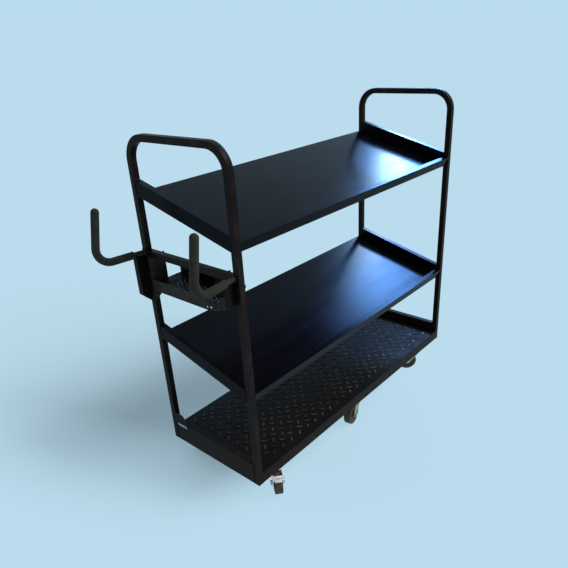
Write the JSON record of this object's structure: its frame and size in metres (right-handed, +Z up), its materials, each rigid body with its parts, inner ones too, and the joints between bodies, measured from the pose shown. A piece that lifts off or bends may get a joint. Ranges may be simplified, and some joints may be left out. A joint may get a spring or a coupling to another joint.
{
  "type": "picking trolley",
  "caption": "Tall picking trolley with arched handles, sloping lipped shelves, a chequered deck on swivel castors, and a perforated tray with upturned hooks at one end.",
  "frame": {"origin": "on the floor under the middle of the overall box", "axes": "+X along the trolley's length, away from the hooks; +Y across it, from the shelf lips towards the high back edges; +Z up"},
  "size_m": [1.365, 0.5002, 1.176],
  "materials": {
    "frame_paint": "satin black paint, slightly worn",
    "shelf_paint": "glossy black paint",
    "deck_paint": "black paint over chequered plate",
    "tray_paint": "satin black paint",
    "hook_coat": "matt olive grey sleeve",
    "zinc_plate": "yellowish zinc plating",
    "chrome_plate": "bright plating",
    "bright_steel": "plated steel",
    "wheel_core": "dark moulded wheel body",
    "tyre_rubber": "dark brown solid rubber"
  },
  "bodies": {
    "trolley": {"end_frame_left": "frame_paint", "end_frame_right": "frame_paint", "top_shelf": "shelf_paint", "middle_shelf": "shelf_paint", "deck": "deck_paint", "side_rail_near": "frame_paint", "side_rail_far": "frame_paint", "end_panel_left": "frame_paint", "end_panel_right": "frame_paint", "cross_member_left": "frame_paint", "cross_member_middle": "frame_paint", "cross_member_right": "frame_paint", "post_gusset": "frame_paint", "tray_rail": "frame_paint", "tray_side_plate": "tray_paint", "tray_hanger": "tray_paint", "tray_floor": "tray_paint", "tray_band": "tray_paint", "tray_back": "tray_paint", "hook_bracket_left": "tray_paint", "hook_bracket_right": "tray_paint", "hook_rod_left": "bright_steel", "hook_rod_right": "bright_steel", "hook_sleeve_left": "hook_coat", "hook_sleeve_right": "hook_coat", "bracket_bolts": "bright_steel", "castor_bolts": "bright_steel", "plate_near_left": "chrome_plate", "plate_near_middle": "zinc_plate", "plate_near_right": "zinc_plate", "plate_far_left": "zinc_plate", "plate_far_middle": "zinc_plate", "plate_far_right": "zinc_plate"},
    "swivel_near_left": {"fork_near_left": "chrome_plate", "axle_near_left": "bright_steel"},
    "roller_near_left": {"wheel_near_left": "wheel_core", "tyre_near_left": "tyre_rubber"},
    "brake_near_left": {"pedal_near_left": "chrome_plate"},
    "swivel_near_middle": {"fork_near_middle": "zinc_plate", "axle_near_middle": "bright_steel"},
    "roller_near_middle": {"wheel_near_middle": "wheel_core", "tyre_near_middle": "tyre_rubber"},
    "swivel_near_right": {"fork_near_right": "zinc_plate", "axle_near_right": "bright_steel"},
    "roller_near_right": {"wheel_near_right": "wheel_core", "tyre_near_right": "tyre_rubber"},
    "swivel_far_left": {"fork_far_left": "zinc_plate", "axle_far_left": "bright_steel"},
    "roller_far_left": {"wheel_far_left": "wheel_core", "tyre_far_left": "tyre_rubber"},
    "brake_far_left": {"pedal_far_left": "chrome_plate"},
    "swivel_far_middle": {"fork_far_middle": "zinc_plate", "axle_far_middle": "bright_steel"},
    "roller_far_middle": {"wheel_far_middle": "wheel_core", "tyre_far_middle": "tyre_rubber"},
    "swivel_far_right": {"fork_far_right": "zinc_plate", "axle_far_right": "bright_steel"},
    "roller_far_right": {"wheel_far_right": "wheel_core", "tyre_far_right": "tyre_rubber"}
  },
  "joints": [
    {"name": "turn_near_left", "type": "hinge", "parent": "trolley", "child": "swivel_near_left", "pos_m": [-0.3925, -0.165, 0.09], "axis": [0, 0, 1], "continuous": true},
    {"name": "roll_near_left", "type": "hinge", "parent": "swivel_near_left", "child": "roller_near_left", "pos_m": [-0.41435, -0.19105, 0.04], "axis": [-0.766, 0.6428, 0], "continuous": true},
    {"name": "press_near_left", "type": "hinge", "parent": "swivel_near_left", "child": "brake_near_left", "pos_m": [-0.42978, -0.20943, 0.07994], "axis": [0.766, -0.6428, 0], "range_deg": [0, 12]},
    {"name": "turn_near_middle", "type": "hinge", "parent": "trolley", "child": "swivel_near_middle", "pos_m": [0.0825, -0.165, 0.09], "axis": [0, 0, 1], "continuous": true},
    {"name": "roll_near_middle", "type": "hinge", "parent": "swivel_near_middle", "child": "roller_near_middle", "pos_m": [0.04902, -0.1709, 0.04], "axis": [-0.1736, 0.9848, 0], "continuous": true},
    {"name": "turn_near_right", "type": "hinge", "parent": "trolley", "child": "swivel_near_right", "pos_m": [0.5575, -0.165, 0.09], "axis": [0, 0, 1], "continuous": true},
    {"name": "roll_near_right", "type": "hinge", "parent": "swivel_near_right", "child": "roller_near_right", "pos_m": [0.53431, -0.14013, 0.04], "axis": [0.7314, 0.682, 0], "continuous": true},
    {"name": "turn_far_left", "type": "hinge", "parent": "trolley", "child": "swivel_far_left", "pos_m": [-0.3925, 0.165, 0.09], "axis": [0, 0, 1], "continuous": true},
    {"name": "roll_far_left", "type": "hinge", "parent": "swivel_far_left", "child": "roller_far_left", "pos_m": [-0.41435, 0.19105, 0.04], "axis": [0.766, 0.6428, 0], "continuous": true},
    {"name": "press_far_left", "type": "hinge", "parent": "swivel_far_left", "child": "brake_far_left", "pos_m": [-0.42978, 0.20943, 0.07994], "axis": [-0.766, -0.6428, 0], "range_deg": [0, 12]},
    {"name": "turn_far_middle", "type": "hinge", "parent": "trolley", "child": "swivel_far_middle", "pos_m": [0.0825, 0.165, 0.09], "axis": [0, 0, 1], "continuous": true},
    {"name": "roll_far_middle", "type": "hinge", "parent": "swivel_far_middle", "child": "roller_far_middle", "pos_m": [0.04902, 0.1709, 0.04], "axis": [0.1736, 0.9848, 0], "continuous": true},
    {"name": "turn_far_right", "type": "hinge", "parent": "trolley", "child": "swivel_far_right", "pos_m": [0.5575, 0.165, 0.09], "axis": [0, 0, 1], "continuous": true},
    {"name": "roll_far_right", "type": "hinge", "parent": "swivel_far_right", "child": "roller_far_right", "pos_m": [0.53431, 0.14013, 0.04], "axis": [-0.7314, 0.682, 0], "continuous": true}
  ]
}
